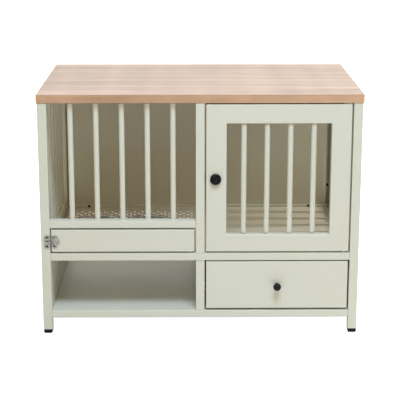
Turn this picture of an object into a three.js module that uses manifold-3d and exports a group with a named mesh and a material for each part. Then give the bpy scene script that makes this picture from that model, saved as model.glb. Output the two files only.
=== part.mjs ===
// A furniture-style dog crate that doubles as an end table.
// A welded steel-tube frame carries a wooden board. The left bay has upright bars over a
// swing-out feeder with two bowls, the right bay has a barred door over a drawer, and an
// open shelf runs below the feeder.
// Millimetres, +X to the right seen from the front, +Y to the back, +Z up, z = 0 on the floor.

import * as THREE from 'three';
import { mergeVertices } from 'three/addons/utils/BufferGeometryUtils.js';
import Module from 'manifold-3d';

const wasm = await Module();
wasm.setup();

// ---------------------------------------------------------------- driving dimensions

const BOARD_WIDTH = 950;
const BOARD_DEPTH = 600;
const BOARD_THICKNESS = 25;
const TABLE_HEIGHT = 730;
const OVERHANG = 2;                     // board past the frame at the front, back and sides

const GAP = 0.3;                        // air between two pieces that touch
const POST_WIDTH = 27;                  // along X
const POST_DEPTH = 30;                  // along Y
const MID_POST_WIDTH = 26;
const RAIL_HEIGHT = 23;
const TUBE_WALL = 1.5;
const TUBE_RADIUS = 2.5;
const SHEET = 1.5;                      // folded sheet steel
const STRIP = 2.5;                      // flat bar under the board

const FOOT_HEIGHT = 13;
const BOTTOM_RAIL_Z = 50;               // undersides of the three front rails
const MID_RAIL_Z = 229.4;
const BAR_RAIL_Z = 330;
const FLOOR_TOP = 245;                  // upper face of the cage floor
const SHELF_TOP = 72.7;

const BAR_RADIUS = 8;
const BAR_BORE = 6.8;
const BAR_SIDES = 16;
const FRONT_BARS = 5;
const FRONT_BAR_SETBACK = 18;           // bar centre behind the frame's front face
const SIDE_BARS = 6;
const SIDE_RAIL_TOP = 276;              // top of each side grille's own lower rail

const LEAF_THICKNESS = 20;              // door, feeder panel and drawer front
const LEAF_LEFT = 17.3;                 // left and right edges of the door and the drawer front
const LEAF_RIGHT = 441.3;
const DOOR_BOTTOM = 257.2;
const DOOR_TOP = 701.2;
const WINDOW_LEFT = 77;
const WINDOW_RIGHT = 383.5;
const WINDOW_BOTTOM = 310;
const WINDOW_TOP = 644.7;
const DOOR_BARS = 4;
const DOOR_BAR_PITCH = 68.2;
const DOOR_BAR_SETBACK = 13;
const PIVOT_INSET = 13;                 // pivot axis from a leaf's right-hand edge
const PIN_RADIUS = 4;

const KNOB_X = 45;                      // turn knob of the door
const KNOB_Z = 479;
const TURN_KNOB_RADIUS = 16.5;
const TURN_KNOB_REACH = 13;
const SPINDLE_RADIUS = 4;
const CAM_LENGTH = 42;

const DRAWER_BOTTOM = 79;
const DRAWER_TOP = 225.7;
const DRAWER_X = 229.5;                 // middle of the right-hand bay
const DRAWER_KNOB_Z = 152;
const DRAWER_KNOB_RADIUS = 12;
const DRAWER_KNOB_REACH = 28;
const BOX_HALF_WIDTH = 203;
const BOX_LENGTH = 515;
const BOX_BOTTOM = 88;
const BOX_TOP = 205;
const RUNNER_Z = 140;
const RUNNER_HEIGHT = 20;
const RUNNER_DEPTH = 11;
const RUNNER_LENGTH = 515;

const FEEDER_LEFT = -442.2;
const FEEDER_RIGHT = -17.5;
const FEEDER_BOTTOM = 257.2;
const FEEDER_TOP = 325;
const BOWL_X = [-308, -157];
const BOWL_SETBACK = 110;               // bowl centres behind the frame's front face
const BOWL_RIM_RADIUS = 73;
const BOWL_RIM_Z = 322.6;
const BOWL_DEPTH = 56;
const BOWL_SIDES = 32;
const RACK_RING_TOP = 320.2;
const RACK_PLATE = 3;
const RACK_RING_INNER = 68.4;
const RACK_RING_OUTER = 72;

const LATCH_X = -433;                   // pivot of the crescent lever, on the feeder panel
const LATCH_Z = 289;
const LATCH_HUB = 8;
const LATCH_REACH = 16;
const LATCH_PLATE = 2;
const LATCH_PLATE_WIDTH = 16;
const LATCH_PLATE_HEIGHT = 38;

const RECESS_WIDTH = 11.7;              // dark channel at both edges of the back panels
const RECESS_DEPTH = 20;

// ---------------------------------------------------------------- derived planes

const HALF_WIDTH = BOARD_WIDTH / 2 - OVERHANG;
const FRONT = -BOARD_DEPTH / 2 + OVERHANG;
const BACK = -FRONT;
const INNER_X = HALF_WIDTH - POST_WIDTH;
const INNER_FRONT = FRONT + POST_DEPTH;
const INNER_BACK = -INNER_FRONT;
const BOARD_BOTTOM = TABLE_HEIGHT - BOARD_THICKNESS;
const FRAME_TOP = BOARD_BOTTOM - GAP;
const MID_HALF = MID_POST_WIDTH / 2;
const LEAF_BACK = FRONT + LEAF_THICKNESS;
const PIVOT_Y = FRONT + LEAF_THICKNESS / 2;
const DOOR_PIVOT_X = LEAF_RIGHT - PIVOT_INSET;
const FEEDER_PIVOT_X = FEEDER_RIGHT - PIVOT_INSET;
const STRIP_BOTTOM = FRAME_TOP - STRIP;
const STRIP_FRONT = FRONT + 14;
const STRIP_BACK = FRONT + 32;
const BOWL_Y = FRONT + BOWL_SETBACK;
const FLOOR_UNDER = MID_RAIL_Z + SHEET;

// ---------------------------------------------------------------- finishes

function finish(hex, roughness, metalness) {
  return () => new THREE.MeshStandardMaterial({ color: hex, roughness, metalness });
}

const woodFinish = finish(0xd9c2b0, 0.5, 0);
const paintFinish = finish(0xcfd1c5, 0.45, 0);
const blackFinish = finish(0x1c1c1e, 0.45, 0);
const rubberFinish = finish(0x111111, 0.8, 0);
const steelFinish = finish(0xc8c8c6, 0.2, 1);
const zincFinish = finish(0xa9aaa6, 0.35, 1);

// ---------------------------------------------------------------- tools for the shapes

// A closed three.js geometry as a solid that can be joined and cut.
function toSolid(geometry) {
  const bare = geometry.clone();
  bare.deleteAttribute('normal');
  bare.deleteAttribute('uv');
  const merged = mergeVertices(bare, 1e-4);
  const corners = merged.index.array;
  const kept = [];
  for (let i = 0; i < corners.length; i += 3) {
    const [a, b, c] = [corners[i], corners[i + 1], corners[i + 2]];
    if (a !== b && b !== c && c !== a) kept.push(a, b, c);
  }
  const vertProperties = new Float32Array(merged.attributes.position.array);
  const triVerts = new Uint32Array(kept);
  return new wasm.Manifold(new wasm.Mesh({ numProp: 3, vertProperties, triVerts }));
}

function toGeometry(solid) {
  const { vertProperties, triVerts } = solid.getMesh();
  const geometry = new THREE.BufferGeometry();
  geometry.setAttribute('position', new THREE.BufferAttribute(vertProperties, 3));
  geometry.setIndex(new THREE.BufferAttribute(triVerts, 1));
  geometry.computeVertexNormals();
  return geometry;
}

function join(first, ...others) {
  return others.reduce((sum, solid) => sum.add(solid), first);
}

function cut(first, ...others) {
  return others.reduce((rest, solid) => rest.subtract(solid), first);
}

// Turns a shape drawn in its own XY plane and pulled along Z so that it is pulled along
// X (drawn in YZ), Y (drawn in ZX) or Z (drawn in XY).
function pullAlong(geometry, axis) {
  const turn = new THREE.Matrix4();
  const x = new THREE.Vector3(1, 0, 0);
  const y = new THREE.Vector3(0, 1, 0);
  const z = new THREE.Vector3(0, 0, 1);
  if (axis === 'x') turn.makeBasis(y, z, x);
  if (axis === 'y') turn.makeBasis(z, x, y);
  return geometry.applyMatrix4(turn);
}

function prism(shape, from, to, axis = 'z', curveSegments = 1) {
  const options = { depth: to - from, bevelEnabled: false, curveSegments };
  const geometry = new THREE.ExtrudeGeometry(shape, options);
  geometry.translate(0, 0, from);
  return toSolid(pullAlong(geometry, axis));
}

// Rectangle from (a0, b0) to (a1, b1) with round corners, as a shape or as a hole.
function roundedRectangle(a0, b0, a1, b1, radius, kind = THREE.Shape) {
  const path = new kind();
  path.moveTo(a0 + radius, b0);
  path.lineTo(a1 - radius, b0);
  path.absarc(a1 - radius, b0 + radius, radius, -Math.PI / 2, 0, false);
  path.lineTo(a1, b1 - radius);
  path.absarc(a1 - radius, b1 - radius, radius, 0, Math.PI / 2, false);
  path.lineTo(a0 + radius, b1);
  path.absarc(a0 + radius, b1 - radius, radius, Math.PI / 2, Math.PI, false);
  path.lineTo(a0, b0 + radius);
  path.absarc(a0 + radius, b0 + radius, radius, Math.PI, 1.5 * Math.PI, false);
  return path;
}

function disc(radius, a = 0, b = 0) {
  const shape = new THREE.Shape();
  shape.absarc(a, b, radius, 0, 2 * Math.PI, false);
  return shape;
}

function block(x0, x1, y0, y1, z0, z1) {
  const geometry = new THREE.BoxGeometry(x1 - x0, y1 - y0, z1 - z0);
  geometry.translate((x0 + x1) / 2, (y0 + y1) / 2, (z0 + z1) / 2);
  return toSolid(geometry);
}

// Round rod along an axis; its centre line passes through (a, b) in the plane of pullAlong.
function rod(radius, a, b, from, to, axis = 'z', sides = BAR_SIDES) {
  return prism(disc(radius, a, b), from, to, axis, sides / 2);
}

// Rectangular tube, open at both ends, with its section given in the plane of pullAlong.
function tube(a0, b0, a1, b1, from, to, axis) {
  const section = roundedRectangle(a0, b0, a1, b1, TUBE_RADIUS);
  const bore = [a0 + TUBE_WALL, b0 + TUBE_WALL, a1 - TUBE_WALL, b1 - TUBE_WALL];
  section.holes.push(roundedRectangle(...bore, TUBE_RADIUS - TUBE_WALL, THREE.Path));
  return prism(section, from, to, axis);
}

// Turned piece on a vertical axis: profile points are [radius, height], outside going up.
function turned(profile, sides) {
  const points = profile.map(([radius, height]) => new THREE.Vector2(radius, height));
  const geometry = new THREE.LatheGeometry(points, sides);
  geometry.rotateX(Math.PI / 2);
  return toSolid(geometry);
}

// Puts a piece turned on +Z so that it grows out of the front, along -Y.
function facingFront(solid, x, y, z) {
  return solid.rotate([90, 0, 0]).translate([x, y, z]);
}

const crate = new THREE.Group();

function piece(name, solid, material) {
  const mesh = new THREE.Mesh(toGeometry(solid), material());
  mesh.name = name;
  crate.add(mesh);
}

// ---------------------------------------------------------------- board, posts and rails

function topBoard() {
  const ease = 1.2;
  const halfX = BOARD_WIDTH / 2 - ease;
  const halfY = BOARD_DEPTH / 2 - ease;
  const outline = roundedRectangle(-halfX, -halfY, halfX, halfY, 1);
  const options = { depth: BOARD_THICKNESS - 2 * ease, bevelThickness: ease, bevelSize: ease,
    bevelSegments: 1, curveSegments: 2 };
  const geometry = new THREE.ExtrudeGeometry(outline, options);
  geometry.translate(0, 0, BOARD_BOTTOM + ease);
  return toSolid(geometry);
}

function cornerPost(side, end) {
  const x0 = side < 0 ? -HALF_WIDTH : INNER_X;
  const y0 = end < 0 ? FRONT : INNER_BACK;
  return tube(x0, y0, x0 + POST_WIDTH, y0 + POST_DEPTH, FOOT_HEIGHT + GAP, FRAME_TOP, 'z');
}

// The upper mid post runs up in front of the strip under the board, so its top is notched.
function upperMidPost() {
  const bottom = MID_RAIL_Z + RAIL_HEIGHT + GAP;
  const post = tube(-MID_HALF, FRONT, MID_HALF, INNER_FRONT, bottom, FRAME_TOP, 'z');
  const notch = block(-MID_HALF - 1, MID_HALF + 1, STRIP_FRONT - GAP, INNER_FRONT + 1,
    STRIP_BOTTOM - GAP, FRAME_TOP + 1);
  return cut(post, notch);
}

// Post between the open shelf and the drawer, with its near and far faces given.
function lowerMidPost(y0, y1) {
  const bottom = BOTTOM_RAIL_Z + RAIL_HEIGHT + GAP;
  return tube(-MID_HALF, y0, MID_HALF, y1, bottom, MID_RAIL_Z - GAP, 'z');
}

function frontRail(z, from, to) {
  return tube(FRONT, z, INNER_FRONT, z + RAIL_HEIGHT, from, to, 'x');
}

// The bar rail and the mid rail hold the pivot pins, so each has a hole in one wall.
function barRail() {
  const rail = frontRail(BAR_RAIL_Z, -INNER_X + GAP, -MID_HALF - GAP);
  const hole = rod(PIN_RADIUS + 0.15, FEEDER_PIVOT_X, PIVOT_Y, BAR_RAIL_Z - 1, BAR_RAIL_Z + 5);
  return cut(rail, hole);
}

function midRail() {
  const rail = frontRail(MID_RAIL_Z, -INNER_X + GAP, INNER_X - GAP);
  const top = MID_RAIL_Z + RAIL_HEIGHT;
  const doorHole = rod(PIN_RADIUS + 0.15, DOOR_PIVOT_X, PIVOT_Y, top - 5, top + 1);
  const feederHole = rod(PIN_RADIUS + 0.15, FEEDER_PIVOT_X, PIVOT_Y, top - 5, top + 1);
  return cut(rail, doorHole, feederHole);
}

// Flat bar under the board: it takes the tops of the bars and, on a lug, the door's top pin.
function topStrip() {
  const bar = block(-INNER_X + GAP, INNER_X - GAP, STRIP_FRONT, STRIP_BACK, STRIP_BOTTOM, FRAME_TOP);
  const lug = block(DOOR_PIVOT_X - 12, DOOR_PIVOT_X + 12, FRONT + 2.5, STRIP_FRONT + 1,
    STRIP_BOTTOM, FRAME_TOP);
  const hole = rod(PIN_RADIUS + 0.15, DOOR_PIVOT_X, PIVOT_Y, STRIP_BOTTOM - 1, FRAME_TOP + 1);
  return cut(join(bar, lug), hole);
}

function sideRail(side, z) {
  const x0 = side < 0 ? -HALF_WIDTH : INNER_X;
  return tube(z, x0, z + RAIL_HEIGHT, x0 + POST_WIDTH, INNER_FRONT + GAP, INNER_BACK - GAP, 'y');
}

function rearRail(z) {
  return tube(INNER_BACK, z, BACK, z + RAIL_HEIGHT, -INNER_X + GAP, INNER_X - GAP, 'x');
}

// ---------------------------------------------------------------- bars and grilles

function hollowBar(x, y, bottom, top) {
  const shell = disc(BAR_RADIUS, x, y);
  const bore = new THREE.Path();
  bore.absarc(x, y, BAR_BORE, 0, 2 * Math.PI, false);
  shell.holes.push(bore);
  return prism(shell, bottom, top, 'z', BAR_SIDES / 2);
}

function frontBar(index) {
  const bay = INNER_X - MID_HALF;
  const pitch = (bay + BAR_RADIUS * 2) / (FRONT_BARS + 1);
  const x = -INNER_X - BAR_RADIUS + pitch * (index + 1);
  const bottom = BAR_RAIL_Z + RAIL_HEIGHT + GAP;
  return hollowBar(x, FRONT + FRONT_BAR_SETBACK, bottom, STRIP_BOTTOM - GAP);
}

// Side grille: bars welded between a flat strip and a tube, with their bores open into it.
function sideGrille(side) {
  const x0 = side < 0 ? -HALF_WIDTH : INNER_X;
  const x1 = x0 + POST_WIDTH;
  const x = (x0 + x1) / 2;
  const from = INNER_FRONT + GAP;
  const to = INNER_BACK - GAP;
  const railBottom = MID_RAIL_Z + RAIL_HEIGHT + GAP;
  const pitch = (INNER_BACK - INNER_FRONT) / (SIDE_BARS + 1);
  let grille = join(tube(railBottom, x0, SIDE_RAIL_TOP, x1, from, to, 'y'),
    block(x0, x1, from, to, STRIP_BOTTOM, FRAME_TOP));
  for (let i = 1; i <= SIDE_BARS; i += 1) {
    const y = INNER_FRONT + pitch * i;
    grille = grille.add(rod(BAR_RADIUS, x, y, SIDE_RAIL_TOP - TUBE_WALL / 2, STRIP_BOTTOM + 1));
  }
  for (let i = 1; i <= SIDE_BARS; i += 1) {
    const y = INNER_FRONT + pitch * i;
    grille = grille.subtract(rod(BAR_BORE, x, y, railBottom + 5, STRIP_BOTTOM - GAP));
  }
  return grille;
}

// ---------------------------------------------------------------- panels, floors and shelf

// Panel with a hat section: a field that stands forward of two channels at its edges.
function rearPanel(left, bottom, top) {
  const right = INNER_X - GAP;
  const from = left + RECESS_WIDTH;
  const to = right - RECESS_WIDTH;
  const y0 = INNER_BACK + 7;
  const y1 = y0 + RECESS_DEPTH;
  const outline = new THREE.Shape();
  outline.moveTo(from, y0);
  outline.lineTo(to, y0);
  outline.lineTo(to, y1);
  outline.lineTo(right, y1);
  outline.lineTo(right, y1 + SHEET);
  outline.lineTo(to - SHEET, y1 + SHEET);
  outline.lineTo(to - SHEET, y0 + SHEET);
  outline.lineTo(from + SHEET, y0 + SHEET);
  outline.lineTo(from + SHEET, y1 + SHEET);
  outline.lineTo(left, y1 + SHEET);
  outline.lineTo(left, y1);
  outline.lineTo(from, y1);
  outline.closePath();
  return prism(outline, bottom, top);
}

// Lower side panel: a sheet on the posts' inner plane with a pressed bead along it and
// a flange turned outwards at the top and bottom.
function lowerSidePanel(side) {
  const bottom = BOTTOM_RAIL_Z + RAIL_HEIGHT + GAP;
  const top = MID_RAIL_Z - GAP;
  const beadZ = 173;
  const bead = 2;
  const flange = 14;
  const outline = new THREE.Shape();
  outline.moveTo(bottom, flange);
  outline.lineTo(bottom, 0);
  outline.lineTo(beadZ - bead, 0);
  outline.lineTo(beadZ, -bead);
  outline.lineTo(beadZ + bead, 0);
  outline.lineTo(top, 0);
  outline.lineTo(top, flange);
  outline.lineTo(top - SHEET, flange);
  outline.lineTo(top - SHEET, SHEET);
  outline.lineTo(beadZ + bead, SHEET);
  outline.lineTo(beadZ, SHEET - bead);
  outline.lineTo(beadZ - bead, SHEET);
  outline.lineTo(bottom + SHEET, SHEET);
  outline.lineTo(bottom + SHEET, flange);
  outline.closePath();
  const panel = prism(outline, INNER_FRONT + GAP, INNER_BACK - GAP, 'y').translate([INNER_X, 0, 0]);
  return side < 0 ? panel.mirror([1, 0, 0]) : panel;
}

// Sheet with its four edges turned down.
function pan(x0, x1, y0, y1, bottom, top) {
  const inside = block(x0 + SHEET, x1 - SHEET, y0 + SHEET, y1 - SHEET, bottom - 1, top - SHEET);
  return cut(block(x0, x1, y0, y1, bottom, top), inside);
}

function floorPan(x0, x1) {
  return pan(x0, x1, INNER_FRONT + GAP, INNER_BACK - GAP, FLOOR_UNDER, FLOOR_TOP);
}

function lowerShelf() {
  return pan(-INNER_X + GAP, INNER_X - GAP, INNER_FRONT + GAP, INNER_BACK - GAP,
    BOTTOM_RAIL_Z + 4, SHELF_TOP);
}

// Hollow wall between the open shelf and the drawer, open at the front and the back.
function lowerDivider() {
  const bottom = SHELF_TOP + GAP;
  const top = FLOOR_UNDER - GAP;
  return tube(bottom, -MID_HALF, top, MID_HALF, INNER_FRONT + GAP, INNER_BACK - GAP, 'y');
}

function footGlide(side, end) {
  const x = side * (HALF_WIDTH - POST_WIDTH / 2);
  const y = end * (BACK - POST_DEPTH / 2);
  const round = 3;
  const halfX = POST_WIDTH / 2 - 1 - round;
  const halfY = POST_DEPTH / 2 - 1 - round;
  const sole = roundedRectangle(-halfX, -halfY, halfX, halfY, 1);
  const options = { depth: FOOT_HEIGHT - 2 * round, bevelThickness: round, bevelSize: round,
    bevelSegments: 3, curveSegments: 1 };
  const cap = new THREE.ExtrudeGeometry(sole, options);
  cap.translate(0, 0, round);
  const spigot = roundedRectangle(-POST_WIDTH / 2 + 2.2, -POST_DEPTH / 2 + 2.2,
    POST_WIDTH / 2 - 2.2, POST_DEPTH / 2 - 2.2, 1);
  const plug = prism(spigot, FOOT_HEIGHT - 1, FOOT_HEIGHT + 14);
  return join(toSolid(cap), plug).translate([x, y, 0]);
}

// ---------------------------------------------------------------- door

// Folded tray in the front plane: a face sheet with its edges turned back, open behind,
// and a window whose edges are turned back too where one is given.
function leaf(x0, x1, z0, z1, window) {
  const outline = roundedRectangle(z0, x0, z1, x1, 1.5);
  const pocket = roundedRectangle(z0 + SHEET, x0 + SHEET, z1 - SHEET, x1 - SHEET, 0.5);
  if (window) {
    const [left, right, bottom, top] = window;
    const lip = [bottom - SHEET, left - SHEET, top + SHEET, right + SHEET];
    outline.holes.push(roundedRectangle(bottom, left, top, right, 0.5, THREE.Path));
    pocket.holes.push(roundedRectangle(...lip, 1.5, THREE.Path));
  }
  return cut(prism(outline, FRONT, LEAF_BACK, 'y'), prism(pocket, FRONT + SHEET, LEAF_BACK + 1, 'y'));
}

function doorPanel() {
  const window = [WINDOW_LEFT, WINDOW_RIGHT, WINDOW_BOTTOM, WINDOW_TOP];
  const tray = leaf(LEAF_LEFT, LEAF_RIGHT, DOOR_BOTTOM, DOOR_TOP, window);
  const spindleHole = rod(SPINDLE_RADIUS + GAP, KNOB_Z, KNOB_X, FRONT - 1, FRONT + 5, 'y');
  const pinHole = rod(PIN_RADIUS + GAP, DOOR_PIVOT_X, PIVOT_Y, DOOR_BOTTOM - 1, DOOR_TOP + 1);
  return cut(tray, spindleHole, pinHole);
}

// Door bar with domed ends that stand on the window's turned-in edges.
function doorBar(index) {
  const x = (WINDOW_LEFT + WINDOW_RIGHT) / 2 + (index - (DOOR_BARS - 1) / 2) * DOOR_BAR_PITCH;
  const bottom = WINDOW_BOTTOM + GAP;
  const top = WINDOW_TOP - GAP;
  const neck = 5;
  const dome = 4;
  const profile = [
    [0, bottom], [neck, bottom], [BAR_RADIUS - 0.8, bottom + dome / 2], [BAR_RADIUS, bottom + dome],
    [BAR_RADIUS, top - dome], [BAR_RADIUS - 0.8, top - dome / 2], [neck, top], [0, top],
  ];
  return turned(profile, BAR_SIDES).translate([x, FRONT + DOOR_BAR_SETBACK, 0]);
}

function pivotPin(x, bottom, top, collarBottom, collarTop) {
  const shaft = rod(PIN_RADIUS, x, PIVOT_Y, bottom, top);
  if (collarTop === undefined) return shaft;
  return join(shaft, rod(PIN_RADIUS + 3, x, PIVOT_Y, collarBottom, collarTop));
}

// Turn knob: a dished disc with a finger bar across it and a spindle through the door.
function turnKnob() {
  const rim = TURN_KNOB_RADIUS;
  const profile = [
    [0, 0], [rim - 1.5, 0], [rim, 1.5], [rim, 6], [rim - 2, 8], [rim - 4, 8],
    [rim - 6, 6], [0, 5],
  ];
  const barShape = roundedRectangle(-rim + 4, -2.5, rim - 4, 2.5, 2.4);
  const bar = prism(barShape, 4, TURN_KNOB_REACH);
  const head = join(turned(profile, 24), bar.rotate([0, 0, -50]));
  const spindle = rod(SPINDLE_RADIUS, KNOB_Z, KNOB_X, FRONT - 1, INNER_FRONT + 8, 'y', 12);
  return join(facingFront(head, KNOB_X, FRONT - GAP, KNOB_Z), spindle);
}

// Cam behind the door: it hangs down when released, and turns behind the mid post to lock.
function doorCam() {
  const width = 9;
  const outline = new THREE.Shape();
  outline.absarc(0, 0, width, 0, Math.PI, false);
  outline.lineTo(-width * 0.7, -CAM_LENGTH + 6);
  outline.absarc(0, -CAM_LENGTH + width * 0.7, width * 0.7, Math.PI, 2 * Math.PI, false);
  outline.closePath();
  const bore = new THREE.Path();
  bore.absarc(0, 0, SPINDLE_RADIUS + GAP, 0, 2 * Math.PI, false);
  outline.holes.push(bore);
  const plate = prism(outline, 0, 3, 'z', 6);
  return facingFront(plate, KNOB_X, INNER_FRONT + 6.5, KNOB_Z);
}

// Strike: an angle on the mid post's edge and rear face, where the cam bears.
function doorStrike() {
  const x0 = MID_HALF + GAP;
  const y1 = INNER_FRONT + GAP;
  const outline = new THREE.Shape();
  outline.moveTo(x0, FRONT + 8);
  outline.lineTo(x0 + SHEET, FRONT + 8);
  outline.lineTo(x0 + SHEET, y1 + 2.5);
  outline.lineTo(-MID_HALF + 4, y1 + 2.5);
  outline.lineTo(-MID_HALF + 4, y1);
  outline.lineTo(x0, y1);
  outline.closePath();
  return prism(outline, KNOB_Z - 12.5, KNOB_Z + 12.5);
}

// ---------------------------------------------------------------- drawer

// Tray open at the top, with a rib along each side that rides in a runner.
function drawerBox() {
  const y0 = LEAF_BACK + GAP;
  const y1 = y0 + BOX_LENGTH;
  const x0 = DRAWER_X - BOX_HALF_WIDTH;
  const x1 = DRAWER_X + BOX_HALF_WIDTH;
  const inside = block(x0 + SHEET, x1 - SHEET, y0 + SHEET, y1 - SHEET, BOX_BOTTOM + SHEET, BOX_TOP + 1);
  const tray = cut(block(x0, x1, y0, y1, BOX_BOTTOM, BOX_TOP), inside);
  const ribDepth = RUNNER_DEPTH - TUBE_WALL - 1;
  const half = RUNNER_HEIGHT / 2 - TUBE_WALL - 0.7;
  const leftRib = block(x0 - ribDepth, x0 + 0.5, y0, y1, RUNNER_Z - half, RUNNER_Z + half);
  const rightRib = block(x1 - 0.5, x1 + ribDepth, y0, y1, RUNNER_Z - half, RUNNER_Z + half);
  return join(tray, leftRib, rightRib);
}

function drawerRunner(side) {
  const height = RUNNER_HEIGHT / 2;
  const outline = new THREE.Shape();
  outline.moveTo(-height, 0);
  outline.lineTo(-height, -RUNNER_DEPTH);
  outline.lineTo(-height + TUBE_WALL, -RUNNER_DEPTH);
  outline.lineTo(-height + TUBE_WALL, -TUBE_WALL);
  outline.lineTo(height - TUBE_WALL, -TUBE_WALL);
  outline.lineTo(height - TUBE_WALL, -RUNNER_DEPTH);
  outline.lineTo(height, -RUNNER_DEPTH);
  outline.lineTo(height, 0);
  outline.closePath();
  const from = INNER_FRONT + 1;
  const channel = prism(outline, from, from + RUNNER_LENGTH, 'y');
  if (side > 0) return channel.translate([INNER_X - GAP, 0, RUNNER_Z]);
  return channel.mirror([1, 0, 0]).translate([MID_HALF + GAP, 0, RUNNER_Z]);
}

function drawerKnob() {
  const reach = DRAWER_KNOB_REACH;
  const head = DRAWER_KNOB_RADIUS;
  const profile = [
    [0, 0], [7.5, 0], [7.5, 1.5], [5.2, 4], [4.8, 10], [6.5, 13.5], [head - 1.5, 15.5],
    [head, 18.5], [head - 0.4, 22], [head - 3, 25.8], [head - 7, reach - 0.5], [0, reach],
  ];
  return facingFront(turned(profile, 24), DRAWER_X, FRONT - GAP, DRAWER_KNOB_Z);
}

// ---------------------------------------------------------------- feeder and its latch

// Feeder panel with its two welded pivot pins; the lower one has a collar to ride on.
function feederPanel() {
  const tray = leaf(FEEDER_LEFT, FEEDER_RIGHT, FEEDER_BOTTOM, FEEDER_TOP);
  const railTop = MID_RAIL_Z + RAIL_HEIGHT;
  const upper = pivotPin(FEEDER_PIVOT_X, FEEDER_TOP - 8, BAR_RAIL_Z + 4);
  const lower = pivotPin(FEEDER_PIVOT_X, railTop - 4, FEEDER_BOTTOM + 8, railTop + GAP,
    FEEDER_BOTTOM + 0.5);
  return join(tray, upper, lower);
}

// Rack on the back of the feeder panel: a plate, two rings for the bowls and arms.
function bowlRack() {
  const y0 = LEAF_BACK + GAP;
  const z1 = RACK_RING_TOP;
  const z0 = z1 - RACK_PLATE;
  const [xa, xb] = BOWL_X;
  const middle = (xa + xb) / 2;
  const backPlate = block(xa - 80, xb + 80, y0, y0 + RACK_PLATE, FEEDER_BOTTOM + 3, z1);
  const bridge = block(middle - 9, middle + 9, y0 + 1, BOWL_Y + 20, z0, z1);
  const rings = BOWL_X.map((x) => rod(RACK_RING_OUTER, x, BOWL_Y, z0, z1, 'z', BOWL_SIDES));
  const arms = BOWL_X.map((x) => block(x - 20, x + 20, y0 + 1, BOWL_Y - RACK_RING_INNER + 10, z0, z1));
  const ribs = BOWL_X.map((x) => rackRib(x, y0 + 1, z0));
  const holes = BOWL_X.map((x) => rod(RACK_RING_INNER, x, BOWL_Y, z0 - 60, z1 + 1, 'z', BOWL_SIDES));
  return cut(join(backPlate, bridge, ...rings, ...arms, ...ribs), ...holes);
}

// Small triangular gusset under an arm of the rack.
function rackRib(x, y, z) {
  const outline = new THREE.Shape();
  outline.moveTo(y, z + 1);
  outline.lineTo(y, z - 28);
  outline.lineTo(y + 9, z - 6);
  outline.lineTo(y + 9, z + 1);
  outline.closePath();
  return prism(outline, x - RACK_PLATE / 2, x + RACK_PLATE / 2, 'x');
}

// Spun steel bowl: rolled rim, tapering wall, flat base.
function bowl(x) {
  const wall = 1.2;
  const rim = BOWL_RIM_Z;
  const base = rim - BOWL_DEPTH;
  const body = RACK_RING_INNER - 0.9;
  const profile = [
    [0, base], [44, base], [50, base + 1.5], [56, base + 7], [body - 2.5, rim - 22],
    [body, rim - 2.1], [BOWL_RIM_RADIUS - 0.8, rim - 2], [BOWL_RIM_RADIUS, rim - 1],
    [BOWL_RIM_RADIUS - 1, rim], [body - 0.5, rim - 0.6], [body - wall - 0.3, rim - 3],
    [body - wall - 2.5, rim - 22], [55, base + 8], [49, base + 3], [43, base + wall],
    [0, base + wall],
  ];
  return turned(profile, BOWL_SIDES).translate([x, BOWL_Y, 0]);
}

// Plate with two screw holes, for either half of the latch, on the front plane.
function latchPlate(x) {
  const halfWidth = LATCH_PLATE_WIDTH / 2;
  const halfHeight = LATCH_PLATE_HEIGHT / 2;
  const outline = roundedRectangle(-halfWidth, -halfHeight, halfWidth, halfHeight, 4);
  for (const side of [-1, 1]) {
    const hole = new THREE.Path();
    hole.absarc(0, side * (halfHeight - 5.5), 1.9, 0, 2 * Math.PI, false);
    outline.holes.push(hole);
  }
  return facingFront(prism(outline, 0, LATCH_PLATE, 'z', 4), x, FRONT - GAP, LATCH_Z);
}

// Base on the feeder panel, with the headed stud that the lever turns on.
function latchBase() {
  const stud = turned([[0, 1], [4, 1], [4, 5.6], [6, 5.6], [6, 6.8], [4.5, 7.4], [0, 7.4]], 20);
  return join(latchPlate(LATCH_X), facingFront(stud, LATCH_X, FRONT - GAP, LATCH_Z));
}

// Keeper on the post: its lip stands off the plate, and the crescent turns in behind it.
function latchKeeper() {
  const x0 = -458;
  const x1 = -444;
  const front = FRONT - GAP;
  const hook = new THREE.Shape();
  hook.moveTo(x0, front - 1);
  hook.lineTo(x0, front - 7.6);
  hook.lineTo(x1, front - 7.6);
  hook.lineTo(x1, front - 5.8);
  hook.lineTo(x0 + 2.5, front - 5.8);
  hook.lineTo(x0 + 2.5, front - 1);
  hook.closePath();
  const lip = prism(hook, LATCH_Z - 6, LATCH_Z + 2.5);
  return join(latchPlate(x0 + 3), lip);
}

// Lever: hub, a crescent over its upper left, and a finger tab that sweeps to the right.
function latchLever() {
  const start = Math.PI / 3;
  const end = (5 / 6) * Math.PI;
  const outline = new THREE.Shape();
  outline.absarc(0, 0, LATCH_HUB, -Math.PI / 2, -Math.PI / 5, false);
  outline.quadraticCurveTo(10, -1, 14, -2.5);
  outline.absarc(14.8, -0.8, 1.9, -Math.PI / 1.8, Math.PI / 2.6, false);
  outline.quadraticCurveTo(11.5, 9.5, LATCH_REACH * Math.cos(start), LATCH_REACH * Math.sin(start));
  outline.absarc(0, 0, LATCH_REACH, start, end, false);
  outline.lineTo(LATCH_HUB * Math.cos(end), LATCH_HUB * Math.sin(end));
  outline.absarc(0, 0, LATCH_HUB, end, 1.5 * Math.PI, false);
  const bore = new THREE.Path();
  bore.absarc(0, 0, 4.2, 0, 2 * Math.PI, false);
  outline.holes.push(bore);
  const plate = prism(outline, 0, 2.8, 'z', 8);
  return facingFront(plate, LATCH_X, FRONT - GAP - LATCH_PLATE - GAP, LATCH_Z);
}

// ---------------------------------------------------------------- the assembly

const SIDES = { left: -1, right: 1 };
const ENDS = { front: -1, rear: 1 };

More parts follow.
